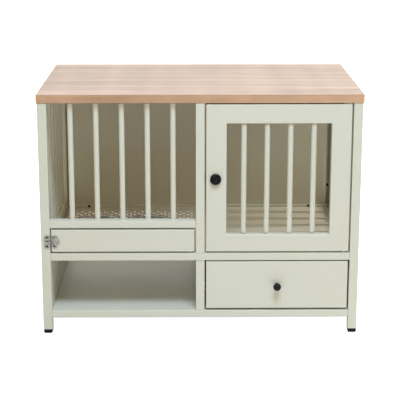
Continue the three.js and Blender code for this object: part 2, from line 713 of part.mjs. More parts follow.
piece('top_board', topBoard(), woodFinish);
for (const [end, e] of Object.entries(ENDS)) {
  for (const [side, s] of Object.entries(SIDES)) {
    piece(`${end}_${side}_post`, cornerPost(s, e), paintFinish);
    piece(`${end}_${side}_glide`, footGlide(s, e), rubberFinish);
  }
}
piece('upper_mid_post', upperMidPost(), paintFinish);
piece('lower_mid_post', lowerMidPost(FRONT, INNER_FRONT), paintFinish);
piece('rear_lower_mid_post', lowerMidPost(INNER_BACK, BACK), paintFinish);
piece('front_bar_rail', barRail(), paintFinish);
piece('front_mid_rail', midRail(), paintFinish);
piece('front_bottom_rail', frontRail(BOTTOM_RAIL_Z, -INNER_X + GAP, INNER_X - GAP), paintFinish);
piece('front_top_strip', topStrip(), paintFinish);
for (let i = 0; i < FRONT_BARS; i += 1) {
  piece(`front_bar_${i + 1}`, frontBar(i), paintFinish);
}
for (const [side, s] of Object.entries(SIDES)) {
  piece(`${side}_side_grille`, sideGrille(s), paintFinish);
  piece(`${side}_mid_rail`, sideRail(s, MID_RAIL_Z), paintFinish);
  piece(`${side}_bottom_rail`, sideRail(s, BOTTOM_RAIL_Z), paintFinish);
  piece(`${side}_lower_panel`, lowerSidePanel(s), paintFinish);
  piece(`${side}_drawer_runner`, drawerRunner(s), zincFinish);
}
piece('rear_top_rail', rearRail(FRAME_TOP - RAIL_HEIGHT), paintFinish);
piece('rear_mid_rail', rearRail(MID_RAIL_Z), paintFinish);
piece('rear_bottom_rail', rearRail(BOTTOM_RAIL_Z), paintFinish);
piece('rear_upper_panel', rearPanel(-INNER_X + GAP, MID_RAIL_Z + RAIL_HEIGHT + GAP,
  FRAME_TOP - RAIL_HEIGHT - GAP), paintFinish);
// The open shelf has no back: only the drawer's bay is closed behind.
piece('rear_lower_panel', rearPanel(MID_HALF + GAP, BOTTOM_RAIL_Z + RAIL_HEIGHT + GAP,
  MID_RAIL_Z - GAP), paintFinish);
piece('left_floor_pan', floorPan(-INNER_X + GAP, -GAP / 2), paintFinish);
piece('right_floor_pan', floorPan(GAP / 2, INNER_X - GAP), paintFinish);
piece('lower_shelf', lowerShelf(), paintFinish);
piece('lower_divider', lowerDivider(), paintFinish);

piece('door_panel', doorPanel(), paintFinish);
for (let i = 0; i < DOOR_BARS; i += 1) {
  piece(`door_bar_${i + 1}`, doorBar(i), paintFinish);
}
piece('door_pin_top', pivotPin(DOOR_PIVOT_X, DOOR_TOP - 14, FRAME_TOP - 0.5), zincFinish);
piece('door_pin_bottom', pivotPin(DOOR_PIVOT_X, MID_RAIL_Z + RAIL_HEIGHT - 4, DOOR_BOTTOM + 14,
  MID_RAIL_Z + RAIL_HEIGHT + GAP, DOOR_BOTTOM - GAP), zincFinish);
piece('door_knob', turnKnob(), blackFinish);
piece('door_cam', doorCam(), blackFinish);
piece('door_strike', doorStrike(), blackFinish);

piece('drawer_front', leaf(LEAF_LEFT, LEAF_RIGHT, DRAWER_BOTTOM, DRAWER_TOP), paintFinish);
piece('drawer_box', drawerBox(), paintFinish);
piece('drawer_knob', drawerKnob(), blackFinish);

piece('feeder_panel', feederPanel(), paintFinish);
piece('bowl_rack', bowlRack(), paintFinish);
piece('bowl_left', bowl(BOWL_X[0]), steelFinish);
piece('bowl_right', bowl(BOWL_X[1]), steelFinish);
piece('latch_base', latchBase(), zincFinish);
piece('latch_lever', latchLever(), zincFinish);
piece('latch_keeper', latchKeeper(), zincFinish);

// The origin is under the middle of everything, drawer knob included.
crate.position.y = (DRAWER_KNOB_REACH + GAP - OVERHANG) / 2;

export default crate;
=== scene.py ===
# %% [markdown]
# # A dog crate that is also an end table
# The real piece is a welded steel-tube frame with a cream powder coat and a pale wooden board
# on top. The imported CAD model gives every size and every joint. This notebook dresses it: each
# cell first says what a part is on the real crate, how it could be made in Blender, and why one
# way was picked. Lengths are written in millimetres in the maker's own axes and are turned into
# metres in one place.

import math

import bmesh
import bpy
import numpy as np
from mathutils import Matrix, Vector


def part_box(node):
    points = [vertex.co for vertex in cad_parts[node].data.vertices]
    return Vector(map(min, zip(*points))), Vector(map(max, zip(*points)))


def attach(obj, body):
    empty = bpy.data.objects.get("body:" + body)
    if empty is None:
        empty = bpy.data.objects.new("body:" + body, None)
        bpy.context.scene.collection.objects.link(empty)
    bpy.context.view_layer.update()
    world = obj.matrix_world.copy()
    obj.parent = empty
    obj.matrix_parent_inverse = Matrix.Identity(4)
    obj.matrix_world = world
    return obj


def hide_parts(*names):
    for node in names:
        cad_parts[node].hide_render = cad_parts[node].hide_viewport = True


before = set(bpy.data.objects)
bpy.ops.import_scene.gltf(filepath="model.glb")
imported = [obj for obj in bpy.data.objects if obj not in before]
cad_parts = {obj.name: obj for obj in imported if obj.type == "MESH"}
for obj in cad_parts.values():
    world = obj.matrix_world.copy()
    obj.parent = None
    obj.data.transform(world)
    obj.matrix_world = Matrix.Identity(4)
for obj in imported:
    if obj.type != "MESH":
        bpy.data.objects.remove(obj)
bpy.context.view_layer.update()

# %% [markdown]
# The maker's drawing has its origin under the middle of the board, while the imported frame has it
# under the middle of the whole object, drawer knob included. The difference is one shift along
# Y. It could be typed as a number, but reading it from the board's box keeps the two in step.

# %% Main sizes in millimetres
MM = 0.001
board_low, board_high = (np.array(corner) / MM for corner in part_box("top_board"))
TO_FRAME = np.array([0.0, (board_low[1] + board_high[1]) / 2, 0.0])
HALF_BOARD = (board_high - board_low)[:2] / 2
TOP, UNDER_BOARD = board_high[2], board_low[2]
SHEET, WALL, GAP = 1.5, 1.5, 0.3      # sheet, tube wall, gap between welded neighbours
SIDE, INNER = 473.0, 446.0            # outer and inner faces of the corner posts
FRONT, BACK = -298.0, 298.0           # front and back planes of the frame
INNER_FRONT, INNER_BACK = -268.0, 268.0
POST_WIDTH, POST_DEPTH = 27.0, 30.0
END_X, END_Y = INNER - GAP, INNER_BACK - GAP    # ends of what is welded between the posts
FRAME_TOP = UNDER_BOARD - GAP
STRIP_UNDER = FRAME_TOP - 2.5         # underside of the flat bar below the board
RAIL = 23.0                           # height of every rail
BOTTOM_RAIL, MID_RAIL, BAR_RAIL = 50.0, 229.4, 330.0    # undersides of the rails
MID = 13.0                            # half the width of the mid posts
print("shift to the packed frame:", TO_FRAME.round(3), "board half sizes:", HALF_BOARD)

# %% [markdown]
# Every new shape here is a grid of points: rows follow a section, columns go round or along.
# A grid can be filled point by point in a loop, but whole numpy arrays are shorter and quick.
# One helper makes the four-sided faces, and one puts points and faces into a mesh, welds what
# meets, turns the faces outwards and lets large faces rule the shading.

# %% From arrays to a finished piece
FINISH = {}


def quads(rows, columns, close_rows=False, close_columns=True):
    """Face (i, j) joins points (i, j), (i, j+1), (i+1, j+1) and (i+1, j) of a row-major grid."""
    i = np.arange(rows if close_rows else rows - 1)[:, None]
    j = np.arange(columns if close_columns else columns - 1)[None, :]
    below, right = (i + 1) % rows, (j + 1) % columns
    corners = [i * columns + j, i * columns + right, below * columns + right, below * columns + j]
    return np.stack(corners, -1).reshape(-1, 4)


def grid(rows, close_rows=False, close_columns=True, caps=True):
    """Points and faces of a stack of equal rings; caps close the first and the last ring."""
    rows = np.asarray(rows, float)
    count, columns = rows.shape[:2]
    faces = quads(count, columns, close_rows, close_columns).tolist()
    if caps and not close_rows:
        faces += [list(range(columns)), list(range((count - 1) * columns, count * columns))]
    return rows.reshape(-1, 3), faces


def joined(*shapes):
    """Several (points, faces) pairs as one: each pair's face numbers move up by the points before."""
    starts = np.cumsum([0] + [len(points) for points, _ in shapes[:-1]])
    faces = [[k + int(s) for k in face] for s, (_, shape) in zip(starts, shapes) for face in shape]
    return np.concatenate([points for points, _ in shapes]), faces


def places(mesh):
    """The mesh's points as an array of rows (x, y, z), in metres."""
    flat = np.empty(len(mesh.vertices) * 3, np.float32)
    mesh.vertices.foreach_get("co", flat)
    return flat.reshape(-1, 3)


def finished(mesh, name, body, finish, nodes, weld, crease):
    """Welds, turns faces out, shades smooth up to the crease angle and hands the piece to its body."""
    bm = bmesh.new()
    bm.from_mesh(mesh)
    bmesh.ops.remove_doubles(bm, verts=bm.verts, dist=weld * MM)
    bmesh.ops.recalc_face_normals(bm, faces=bm.faces)
    bm.to_mesh(mesh)
    bm.free()
    mesh.polygons.foreach_set("use_smooth", np.ones(len(mesh.polygons), bool))
    mesh.set_sharp_from_angle(angle=math.radians(crease))
    mesh.materials.clear()
    mesh.materials.append(FINISH[finish])
    made = bpy.data.objects.new(name, mesh)
    bpy.context.scene.collection.objects.link(made)
    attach(made, body)
    if nodes:
        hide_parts(*nodes)
    return made


def rule_by_area(made):
    """Lets the larger faces set the normals, so that flat sheets stay flat beside round edges."""
    rule = made.modifiers.new("even_shading", "WEIGHTED_NORMAL")
    rule.keep_sharp = True
    return made


def piece(name, shape, body, finish, *nodes, weld=0.002, crease=40):
    """A finished piece from (points in mm, faces)."""
    points, faces = shape
    mesh = bpy.data.meshes.new(name)
    mesh.from_pydata(((points + TO_FRAME) * MM).tolist(), [], faces)
    return rule_by_area(finished(mesh, name, body, finish, nodes, weld, crease))


def draw_out(mesh, distance, band=0.5):
    """Moves the points within `band` of the ends in x and in z outwards, all in millimetres."""
    place = places(mesh)
    low, high = place.min(0), place.max(0)
    for axis in (0, 2):
        place[:, axis] -= distance * MM * (place[:, axis] < low[axis] + band * MM)
        place[:, axis] += distance * MM * (place[:, axis] > high[axis] - band * MM)
    mesh.vertices.foreach_set("co", place.ravel())


def softened(node, body, finish, width, drawn=0.0):
    """A copy of a CAD piece, drawn out if asked, its flat parts joined and its edges rounded."""
    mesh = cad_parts[node].data.copy()
    if drawn:
        draw_out(mesh, drawn)
    bm = bmesh.new()
    bm.from_mesh(mesh)
    bmesh.ops.remove_doubles(bm, verts=bm.verts, dist=0.01 * MM)
    bmesh.ops.dissolve_limit(bm, angle_limit=math.radians(0.4), verts=bm.verts, edges=bm.edges)
    bm.to_mesh(mesh)
    bm.free()
    made = finished(mesh, node + "_soft", body, finish, (node,), 0.001, 40)
    bevel = made.modifiers.new("soft_edges", "BEVEL")
    bevel.width, bevel.segments = width * MM, 3
    bevel.limit_method, bevel.angle_limit = "ANGLE", math.radians(32)
    return rule_by_area(made)


# %% [markdown]
# Two families of shape cover most of the crate. Turned things, such as bars, knobs, pins and
# bowls, are a profile of radius and height carried round an axis. Tubes and rods of any section
# are a closed outline carried along a line. Both are written once.

# %% Turned shapes, outlines and tubes
def turned(profile, sides, centre, facing="up"):
    """Point (i, j) = (r_i cos a_j, r_i sin a_j, h_i); facing front sends height along -Y."""
    profile = np.asarray(profile, float)
    angle = np.linspace(0, 2 * np.pi, sides, endpoint=False)
    radius, height = profile[:, 0, None], profile[:, 1, None]
    a, b, h = radius * np.cos(angle), radius * np.sin(angle), height + 0 * angle
    rows = np.stack([a, b, h] if facing == "up" else [a, -h, b], -1)
    return grid(rows + np.asarray(centre, float))


def rounded(points, radius, steps=5):
    """A polyline of (r, h) points whose inner corners are cut by quadratic curves.
    Each corner c is replaced by (1-t)^2 p + 2t(1-t) c + t^2 q, with p and q a radius away."""
    points = np.asarray(points, float)
    t = np.linspace(0, 1, steps + 1)[:, None]
    kept = [points[:1]]
    for before, corner, after in zip(points[:-2], points[1:-1], points[2:]):
        back, on = before - corner, after - corner
        p = corner + back * min(0.5, radius / np.linalg.norm(back))
        q = corner + on * min(0.5, radius / np.linalg.norm(on))
        kept.append((1 - t) ** 2 * p + 2 * t * (1 - t) * corner + t**2 * q)
    return np.concatenate(kept + [points[-1:]])


def outline(a0, a1, b0, b1, radius, steps=5):
    """A rectangle with quarter circles at its corners, anticlockwise, as (a, b) pairs."""
    radius = max(radius, 0.02)
    centres = np.array([[a1 - radius, b0 + radius], [a1 - radius, b1 - radius],
                        [a0 + radius, b1 - radius], [a0 + radius, b0 + radius]])
    turn = np.linspace(0, np.pi / 2, steps + 1)
    angle = np.radians([-90, 0, 90, 180])[:, None] + turn
    ring = centres[:, None] + radius * np.stack([np.cos(angle), np.sin(angle)], -1)
    return ring.reshape(-1, 2)


def carried(section, axis, distance):
    """The section's two coordinates, with the distance put in as coordinate x, y or z (0, 1, 2)."""
    return np.insert(section, axis, distance, axis=1)


def tube(axis, a0, a1, b0, b1, start, end, radius=2.5, wall=WALL):
    """Rectangular tube: outer ring at both ends, then inner ring at both ends, closed on itself."""
    outer = outline(a0, a1, b0, b1, radius)
    inner = outline(a0 + wall, a1 - wall, b0 + wall, b1 - wall, radius - wall)
    rows = [carried(outer, axis, start), carried(outer, axis, end),
            carried(inner, axis, end), carried(inner, axis, start)]
    return grid(rows, close_rows=True)


def stack(levels, a0, a1, b0, b1, radius):
    """Round-cornered rectangles at heights z, each drawn in by its inset: rows of (inset, z)."""
    rings = [carried(outline(a0 + d, a1 - d, b0 + d, b1 - d, radius - d), 2, z) for d, z in levels]
    return grid(rings)

# %% [markdown]
# The finishes come before the shapes. Powder coat, board, black parts and metals all share one
# small effect: a surface that is never quite even. It is built once as a node group, with the
# colour, the size of its clouds and the size of its fine bumps as inputs, and each material
# places it with its own values. The groups put out only colours, masks and heights. On the zinc
# the clouds are made so deep that their light and dark patches are painted reflection.

# %% A short way to write shader nodes
def add(tree, kind, feeds=None, **settings):
    """A new node; feeds names its inputs, each a plain value or another node's output socket."""
    made = tree.nodes.new(kind)
    for key, value in settings.items():
        setattr(made, key, value)
    for key, value in (feeds or {}).items():
        if isinstance(value, bpy.types.NodeSocket):
            tree.links.new(value, made.inputs[key])
        else:
            made.inputs[key].default_value = value
    return made


def group_of(name, inputs, outputs):
    """An empty shader node group with named sockets; returns it with its inner input node."""
    tree = bpy.data.node_groups.new(name, "ShaderNodeTree")
    for label, kind, value in inputs:
        socket = tree.interface.new_socket(name=label, in_out="INPUT", socket_type=kind)
        if value is not None:
            socket.default_value = value
    for label, kind in outputs:
        tree.interface.new_socket(name=label, in_out="OUTPUT", socket_type=kind)
    return tree, tree.nodes.new("NodeGroupInput").outputs


def put_out(tree, **sockets):
    """Links the group's results to its outputs."""
    end = tree.nodes.new("NodeGroupOutput")
    for label, socket in sockets.items():
        tree.links.new(socket, end.inputs[label])


def sum_of(tree, a, b, operation="ADD", clamp=False):
    """One Math node of two inputs."""
    made = add(tree, "ShaderNodeMath", {0: a, 1: b}, operation=operation, use_clamp=clamp)
    return made.outputs[0]


COLOUR, FLOAT, VECTOR = "NodeSocketColor", "NodeSocketFloat", "NodeSocketVector"

# %% Uneven surface: clouds in the colour, patches in the gloss, fine bumps in the relief; deep clouds on the zinc are painted reflection
uneven, given = group_of(
    "uneven_surface",
    [("Place", VECTOR, None), ("Colour", COLOUR, (0.8, 0.8, 0.8, 1)), ("Clouds", FLOAT, 3.0),
     ("Cloud depth", FLOAT, 0.05), ("Gloss", FLOAT, 0.4), ("Gloss depth", FLOAT, 0.1),
     ("Bumps", FLOAT, 900.0)],
    [("Colour", COLOUR), ("Roughness", FLOAT), ("Height", FLOAT)])
cloud = add(uneven, "ShaderNodeTexNoise", {"Vector": given["Place"], "Scale": given["Clouds"],
                                           "Detail": 4.0, "Roughness": 0.6})
centred = sum_of(uneven, cloud.outputs[0], 0.5, "SUBTRACT")
# Tone factor round 1; where the clouds are deep, as on the zinc, it paints light and dark reflections.
tone_and_painted_reflection = sum_of(uneven, sum_of(uneven, centred, given["Cloud depth"], "MULTIPLY"), 1.0)
tinted = add(uneven, "ShaderNodeVectorMath", {0: given["Colour"], "Scale": tone_and_painted_reflection}, operation="SCALE")
patch = add(uneven, "ShaderNodeTexNoise", {"Vector": given["Place"], "Scale": 14.0, "Detail": 3.0})
patchy = sum_of(uneven, sum_of(uneven, patch.outputs[0], 0.5, "SUBTRACT"),
                given["Gloss depth"], "MULTIPLY")
gloss = sum_of(uneven, given["Gloss"], patchy, clamp=True)
fine = add(uneven, "ShaderNodeTexNoise", {"Vector": given["Place"], "Scale": given["Bumps"],
                                          "Detail": 2.0, "Roughness": 0.5})
put_out(uneven, Colour=tinted.outputs[0], Roughness=gloss, Height=fine.outputs[0])

# %% [markdown]
# The board is a pale melamine wood print: fine straight grain along its length, a few wider
# streaks, faint broad bands across it, and short pores. A photograph could be laid on it,
# but noise that is stretched along one axis gives the same look at any size. It reads the
# board's own UV map, which runs along each face, so the narrow edges get grain along their
# length too.

# %% Wood grain group
grain, given = group_of(
    "wood_grain",
    [("Place", VECTOR, None), ("Light", COLOUR, (0.6, 0.4, 0.3, 1)),
     ("Dark", COLOUR, (0.5, 0.3, 0.2, 1)), ("Pores", FLOAT, 0.15)],
    [("Colour", COLOUR), ("Height", FLOAT)])


def streaks(tree, place, along, across, detail):
    """Noise stretched along U: a low scale along the grain and a high one across it."""
    laid = add(tree, "ShaderNodeMapping", {"Vector": place, "Scale": (along, across, 1.0)})
    return add(tree, "ShaderNodeTexNoise", {"Vector": laid.outputs[0], "Scale": 1.0,
                                            "Detail": detail, "Roughness": 0.65}).outputs[0]


broad = streaks(grain, given["Place"], 0.9, 24.0, 4.0)
thin = streaks(grain, given["Place"], 4.0, 260.0, 3.0)
pore = streaks(grain, given["Place"], 22.0, 900.0, 1.0)
figure = streaks(grain, given["Place"], 9.0, 0.5, 1.0)
mixed = sum_of(grain, sum_of(grain, broad, 0.62, "MULTIPLY"), sum_of(grain, thin, 0.20, "MULTIPLY"))
mixed = sum_of(grain, mixed, sum_of(grain, figure, 0.20, "MULTIPLY"))
ramp = add(grain, "ShaderNodeMapRange", {"Value": mixed, "From Min": 0.41, "From Max": 0.61})
# Inputs 6 and 7 of a Mix node, and its output 2, are those for colours.
toned = add(grain, "ShaderNodeMix", {"Factor": ramp.outputs[0], 6: given["Dark"],
                                     7: given["Light"]}, data_type="RGBA")
dots = add(grain, "ShaderNodeMapRange", {"Value": pore, "From Min": 0.62, "From Max": 0.74})
faded = sum_of(grain, dots.outputs[0], given["Pores"], "MULTIPLY")
bare = sum_of(grain, 1.0, faded, "SUBTRACT")
pored = add(grain, "ShaderNodeVectorMath", {0: toned.outputs[2], "Scale": bare}, operation="SCALE")
put_out(grain, Colour=pored.outputs[0], Height=bare)

# %% [markdown]
# Spun and turned metal carries fine rings from the tool. On a bowl they follow the distance
# from the axis, so that distance is stored on the mesh as an attribute, and one-dimensional
# noise on it gives rings that never repeat evenly.

# %% Turning marks group
rings, given = group_of(
    "turning_marks", [("Distance", FLOAT, 0.0), ("Rings", FLOAT, 1500.0), ("Gloss", FLOAT, 0.2),
                      ("Depth", FLOAT, 0.1)],
    [("Roughness", FLOAT), ("Height", FLOAT)])
ring = add(rings, "ShaderNodeTexNoise", {"W": given["Distance"], "Scale": given["Rings"],
                                         "Detail": 3.0}, noise_dimensions="1D")
swing = sum_of(rings, sum_of(rings, ring.outputs[0], 0.5, "SUBTRACT"), given["Depth"], "MULTIPLY")
put_out(rings, Roughness=sum_of(rings, given["Gloss"], swing, clamp=True), Height=ring.outputs[0])


# %% Materials, each named for its finish on the crate
def blank_material(name):
    """A new material with its node tree and its Principled shader, kept under its name."""
    material = bpy.data.materials.new(name)
    material.use_nodes = True
    FINISH[name] = material
    return material.node_tree, material.node_tree.nodes["Principled BSDF"]


def uneven_finish(name, colour, clouds, depth, gloss, gloss_depth, bumps, relief, **constants):
    """A Principled material whose colour, gloss and relief come from the uneven surface group."""
    tree, shader = blank_material(name)
    place = tree.nodes.new("ShaderNodeTexCoord").outputs["Object"]
    skin = add(tree, "ShaderNodeGroup", node_tree=uneven)
    tree.links.new(place, skin.inputs["Place"])
    for label, value in [("Colour", (*colour, 1)), ("Clouds", clouds), ("Cloud depth", depth),
                         ("Gloss", gloss), ("Gloss depth", gloss_depth), ("Bumps", bumps)]:
        skin.inputs[label].default_value = value
    bump = add(tree, "ShaderNodeBump", {"Height": skin.outputs["Height"], "Strength": relief,
                                        "Distance": 0.0002})
    tree.links.new(skin.outputs["Colour"], shader.inputs["Base Color"])
    tree.links.new(skin.outputs["Roughness"], shader.inputs["Roughness"])
    tree.links.new(bump.outputs[0], shader.inputs["Normal"])
    for label, value in constants.items():
        shader.inputs[label.replace("_", " ")].default_value = value
    return tree, shader


def from_screen(*levels):
    """Linear colour from screen values 0 to 255."""
    v = np.array(levels) / 255
    return tuple(np.where(v <= 0.04045, v / 12.92, ((v + 0.055) / 1.055) ** 2.4).tolist())


CREAM = (0.645, 0.655, 0.598)
BLACK, SOOT = (0.006, 0.006, 0.007), (0.006, 0.006, 0.006)
ZINC_WITH_PAINTED_REFLECTION, STEEL = (0.36, 0.36, 0.345), (0.52, 0.50, 0.47)
uneven_finish("cream_paint", CREAM, clouds=2.2, depth=0.03, gloss=0.42, gloss_depth=0.12,
              bumps=1100.0, relief=0.10)
uneven_finish("black_satin", BLACK, clouds=40.0, depth=0.3, gloss=0.30, gloss_depth=0.15,
              bumps=1600.0, relief=0.20, Specular_IOR_Level=0.22)
uneven_finish("black_rubber", SOOT, clouds=60.0, depth=0.4, gloss=0.62, gloss_depth=0.2,
              bumps=900.0, relief=0.35, Specular_IOR_Level=0.2)
# The zinc's dark base and deep clouds give strong light and dark patches: painted reflection of a
# varied surround.
uneven_finish("zinc_plate", ZINC_WITH_PAINTED_REFLECTION, clouds=150.0, depth=2.6, gloss=0.20, gloss_depth=0.25,
              bumps=500.0, relief=0.35, Metallic=1.0)

# %% The board's three materials: the flat print, whose colours carry painted sheen and painted shade, the banded edge and the glue line
def wood_finish(name, light, dark, pores, gloss, coat):
    """Grain on the piece's own UV map, under a thin clear film."""
    tree, shader = blank_material(name)
    laid = add(tree, "ShaderNodeUVMap", uv_map="along_grain").outputs[0]
    wood = add(tree, "ShaderNodeGroup", node_tree=grain)
    tree.links.new(laid, wood.inputs["Place"])
    for label, value in [("Light", (*light, 1)), ("Dark", (*dark, 1)), ("Pores", pores)]:
        wood.inputs[label].default_value = value
    skin = add(tree, "ShaderNodeGroup", node_tree=uneven)
    for label, value in [("Clouds", 3.0), ("Cloud depth", 0.05), ("Gloss", gloss),
                         ("Gloss depth", 0.1), ("Bumps", 700.0)]:
        skin.inputs[label].default_value = value
    tree.links.new(laid, skin.inputs["Place"])
    tree.links.new(wood.outputs["Colour"], skin.inputs["Colour"])
    bump = add(tree, "ShaderNodeBump", {"Height": wood.outputs["Height"], "Strength": 0.25,
                                        "Distance": 0.0001})
    tree.links.new(skin.outputs["Colour"], shader.inputs["Base Color"])
    tree.links.new(skin.outputs["Roughness"], shader.inputs["Roughness"])
    tree.links.new(bump.outputs[0], shader.inputs["Normal"])
    shader.inputs["Coat Weight"].default_value = coat
    shader.inputs["Coat Roughness"].default_value = 0.25


# The flat faces' colours are greyer and a little darker than the edge's: painted sheen and painted
# shade, standing for the top's pale sheen and its weaker light.
wood_finish("table_wood", from_screen(195, 167, 148), from_screen(154, 128, 113),
            pores=0.16, gloss=0.40, coat=0.1)
wood_finish("table_edge", from_screen(206, 168, 139), from_screen(172, 135, 109),
            pores=0.12, gloss=0.45, coat=0.1)
wood_finish("table_seam", from_screen(138, 104, 84), from_screen(124, 92, 74),
            pores=0.0, gloss=0.5, coat=0.0)

# %% Spun steel for the bowls
tree, shader = uneven_finish("bowl_steel", STEEL, clouds=20.0, depth=0.05, gloss=0.16,
                             gloss_depth=0.05, bumps=800.0, relief=0.0, Metallic=1.0)
marks = add(tree, "ShaderNodeGroup", node_tree=rings)
away = add(tree, "ShaderNodeAttribute", attribute_name="from_axis")
tree.links.new(away.outputs["Fac"], marks.inputs["Distance"])
for label, value in [("Rings", 1800.0), ("Gloss", 0.10), ("Depth", 0.10)]:
    marks.inputs[label].default_value = value
lines = add(tree, "ShaderNodeBump", {"Height": marks.outputs["Height"], "Strength": 0.12,
                                     "Distance": 0.0001})
tree.links.new(marks.outputs["Roughness"], shader.inputs["Roughness"])
tree.links.new(lines.outputs[0], shader.inputs["Normal"])
print("finishes:", sorted(FINISH))

# %% [markdown]
# The table board is one flat panel with a banded edge, hardly wider than the frame. A scaled
# cube would do for the shape but not for the eased edges that catch the light, so it is a stack
# of round-cornered rectangles that draw in at the top and the bottom. Its UV map runs along each
# face: length by depth on the flat sides, and length by height on the edges. The quarter rounds
# between them take a darker finish, as the glue line of the edge band does.

# %% Table board
def eased(low, high, ease):
    """(inset, z) levels of a block with quarter-round edges of radius `ease` below and above."""
    t = np.linspace(0, np.pi / 2, 5)
    arc = np.stack([ease * (1 - np.sin(t)), ease * (1 - np.cos(t))], -1)
    below = arc + [0, low]
    above = arc[::-1] * [1, -1] + [0, high]
    return np.concatenate([below, above])


EDGE_ROUND, CORNER_ROUND = 1.1, 1.6
half_x, half_y = HALF_BOARD
board_levels = eased(UNDER_BOARD, TOP, EDGE_ROUND)
board = piece("board", stack(board_levels, -half_x, half_x, -half_y, half_y, CORNER_ROUND),
              "frame", "table_wood", "top_board")
for finish in ("table_edge", "table_seam"):
    board.data.materials.append(FINISH[finish])


def lay_grain(mesh):
    """UV in metres by the face's main direction: (x, y) on flats, (x, z) or (y, z) on edges.
    Flats get material 0, edges 1 and the rounds between them 2. The 3.0 and 0.7 m that are added
    on the edges only move them to other places in the noise."""
    corner = np.empty(len(mesh.loops), np.int32)
    mesh.loops.foreach_get("vertex_index", corner)
    normal = np.empty(len(mesh.polygons) * 3, np.float32)
    mesh.polygons.foreach_get("normal", normal)
    size = np.empty(len(mesh.polygons), np.int32)
    mesh.polygons.foreach_get("loop_total", size)
    slope = np.abs(normal.reshape(-1, 3))
    main, level = slope.argmax(1), slope[:, 2]
    turn = np.repeat(main, size)
    x, y, z = places(mesh)[corner].T
    along = np.where(turn == 0, y + 3.0, x)
    across = np.where(turn == 2, y, z + 0.7)
    layer = mesh.uv_layers.new(name="along_grain")
    layer.data.foreach_set("uv", np.stack([along, across], -1).astype(np.float32).ravel())
    part = np.where((level > 0.25) & (level < 0.97), 2, main != 2)
    mesh.polygons.foreach_set("material_index", part.astype(np.int32))


lay_grain(board.data)
print("board faces:", len(board.data.polygons))

# %% [markdown]
# The frame is welded from rectangular tube with small round corners and open ends. The bright
# line along each corner is what makes a tube read as a tube, so each has five faces round every
# corner and a real wall. Rails with holes for the pivot pins are copies of the CAD pieces,
# welded and rounded by a Bevel modifier, because a drilled tube isn't a plain sweep.

# %% Posts, rails and the wall between shelf and drawer
POST_FOOT = 13.3                      # height at which the posts stand on their glides
DIVIDER_LOW, DIVIDER_HIGH = 73.0, 230.6
SIDES = (("left", -SIDE), ("right", INNER))
ENDS = (("front", FRONT), ("rear", INNER_BACK))
for end, y0 in ENDS:
    for side, x0 in SIDES:
        shape = tube(2, x0, x0 + POST_WIDTH, y0, y0 + POST_DEPTH, POST_FOOT, FRAME_TOP)
        piece(f"{end}_{side}_post_tube", shape, "frame", "cream_paint", f"{end}_{side}_post")
for node, y0 in (("lower_mid_post", FRONT), ("rear_lower_mid_post", INNER_BACK)):
    shape = tube(2, -MID, MID, y0, y0 + POST_DEPTH, BOTTOM_RAIL + RAIL + GAP, MID_RAIL - GAP)
    piece(node + "_tube", shape, "frame", "cream_paint", node)
piece("front_bottom_rail_tube", tube(0, FRONT, INNER_FRONT, BOTTOM_RAIL, BOTTOM_RAIL + RAIL,
                                     -END_X, END_X), "frame", "cream_paint", "front_bottom_rail")
for level, z in (("bottom", BOTTOM_RAIL), ("mid", MID_RAIL), ("top", FRAME_TOP - RAIL)):
    piece(f"rear_{level}_rail_tube", tube(0, INNER_BACK, BACK, z, z + RAIL, -END_X, END_X),
          "frame", "cream_paint", f"rear_{level}_rail")
for side, x0 in SIDES:
    for level, z in (("bottom", BOTTOM_RAIL), ("mid", MID_RAIL)):
        shape = tube(1, x0, x0 + POST_WIDTH, z, z + RAIL, -END_Y, END_Y)
        piece(f"{side}_{level}_rail_tube", shape, "frame", "cream_paint", f"{side}_{level}_rail")
piece("lower_divider_wall", tube(1, -MID, MID, DIVIDER_LOW, DIVIDER_HIGH, -END_Y, END_Y),
      "frame", "cream_paint", "lower_divider")
for node in ("upper_mid_post", "front_bar_rail", "front_mid_rail"):
    softened(node, "frame", "cream_paint", 1.1)
softened("front_top_strip", "frame", "cream_paint", 0.4)

# %% [markdown]
# The bars are 16 mm tubes, welded at both ends: a small fillet of weld shows under the paint.
# A default cylinder has neither fillet nor enough sides, so each bar is a turned profile.

# %% Front bars and side grilles
BAR_RADIUS, FILLET = 8.0, 1.3


def welded_bar(x, y, low, high):
    """A turned bar whose radius grows by the fillet in a hollow curve at each end."""
    t = np.linspace(0, np.pi / 2, 5)
    flare = np.stack([BAR_RADIUS + FILLET * (1 - np.sin(t)), low + FILLET * (1 - np.cos(t))], -1)
    other = flare[::-1] * [1, -1] + [0, low + high]
    return turned(np.concatenate([[[0, low]], flare, other, [[0, high]]]), 40, (x, y, 0))


FRONT_BARS, SIDE_BARS = 5, 6
BAR_PITCH = (INNER - MID + 2 * BAR_RADIUS) / (FRONT_BARS + 1)
BAR_PLANE = FRONT + 18                # the front bars' axes
for i in range(FRONT_BARS):
    x = -INNER - BAR_RADIUS + BAR_PITCH * (i + 1)
    piece(f"front_bar_{i + 1}_tube", welded_bar(x, BAR_PLANE, BAR_RAIL + RAIL, STRIP_UNDER),
          "frame", "cream_paint", f"front_bar_{i + 1}", crease=60)
SILL = 276.0                          # upper face of the grilles' lower tube
SIDE_PITCH = (INNER_BACK - INNER_FRONT) / (SIDE_BARS + 1)
for side, x0 in SIDES:
    x1 = x0 + POST_WIDTH
    parts = [tube(1, x0, x1, MID_RAIL + RAIL + GAP, SILL, -END_Y, END_Y),
             stack(eased(STRIP_UNDER, FRAME_TOP, 0.4), x0, x1, -END_Y, END_Y, 1)]
    parts += [welded_bar(x0 + POST_WIDTH / 2, INNER_FRONT + SIDE_PITCH * i, SILL, STRIP_UNDER)
              for i in range(1, SIDE_BARS + 1)]
    piece(f"{side}_grille_bars", joined(*parts), "frame", "cream_paint", f"{side}_side_grille")
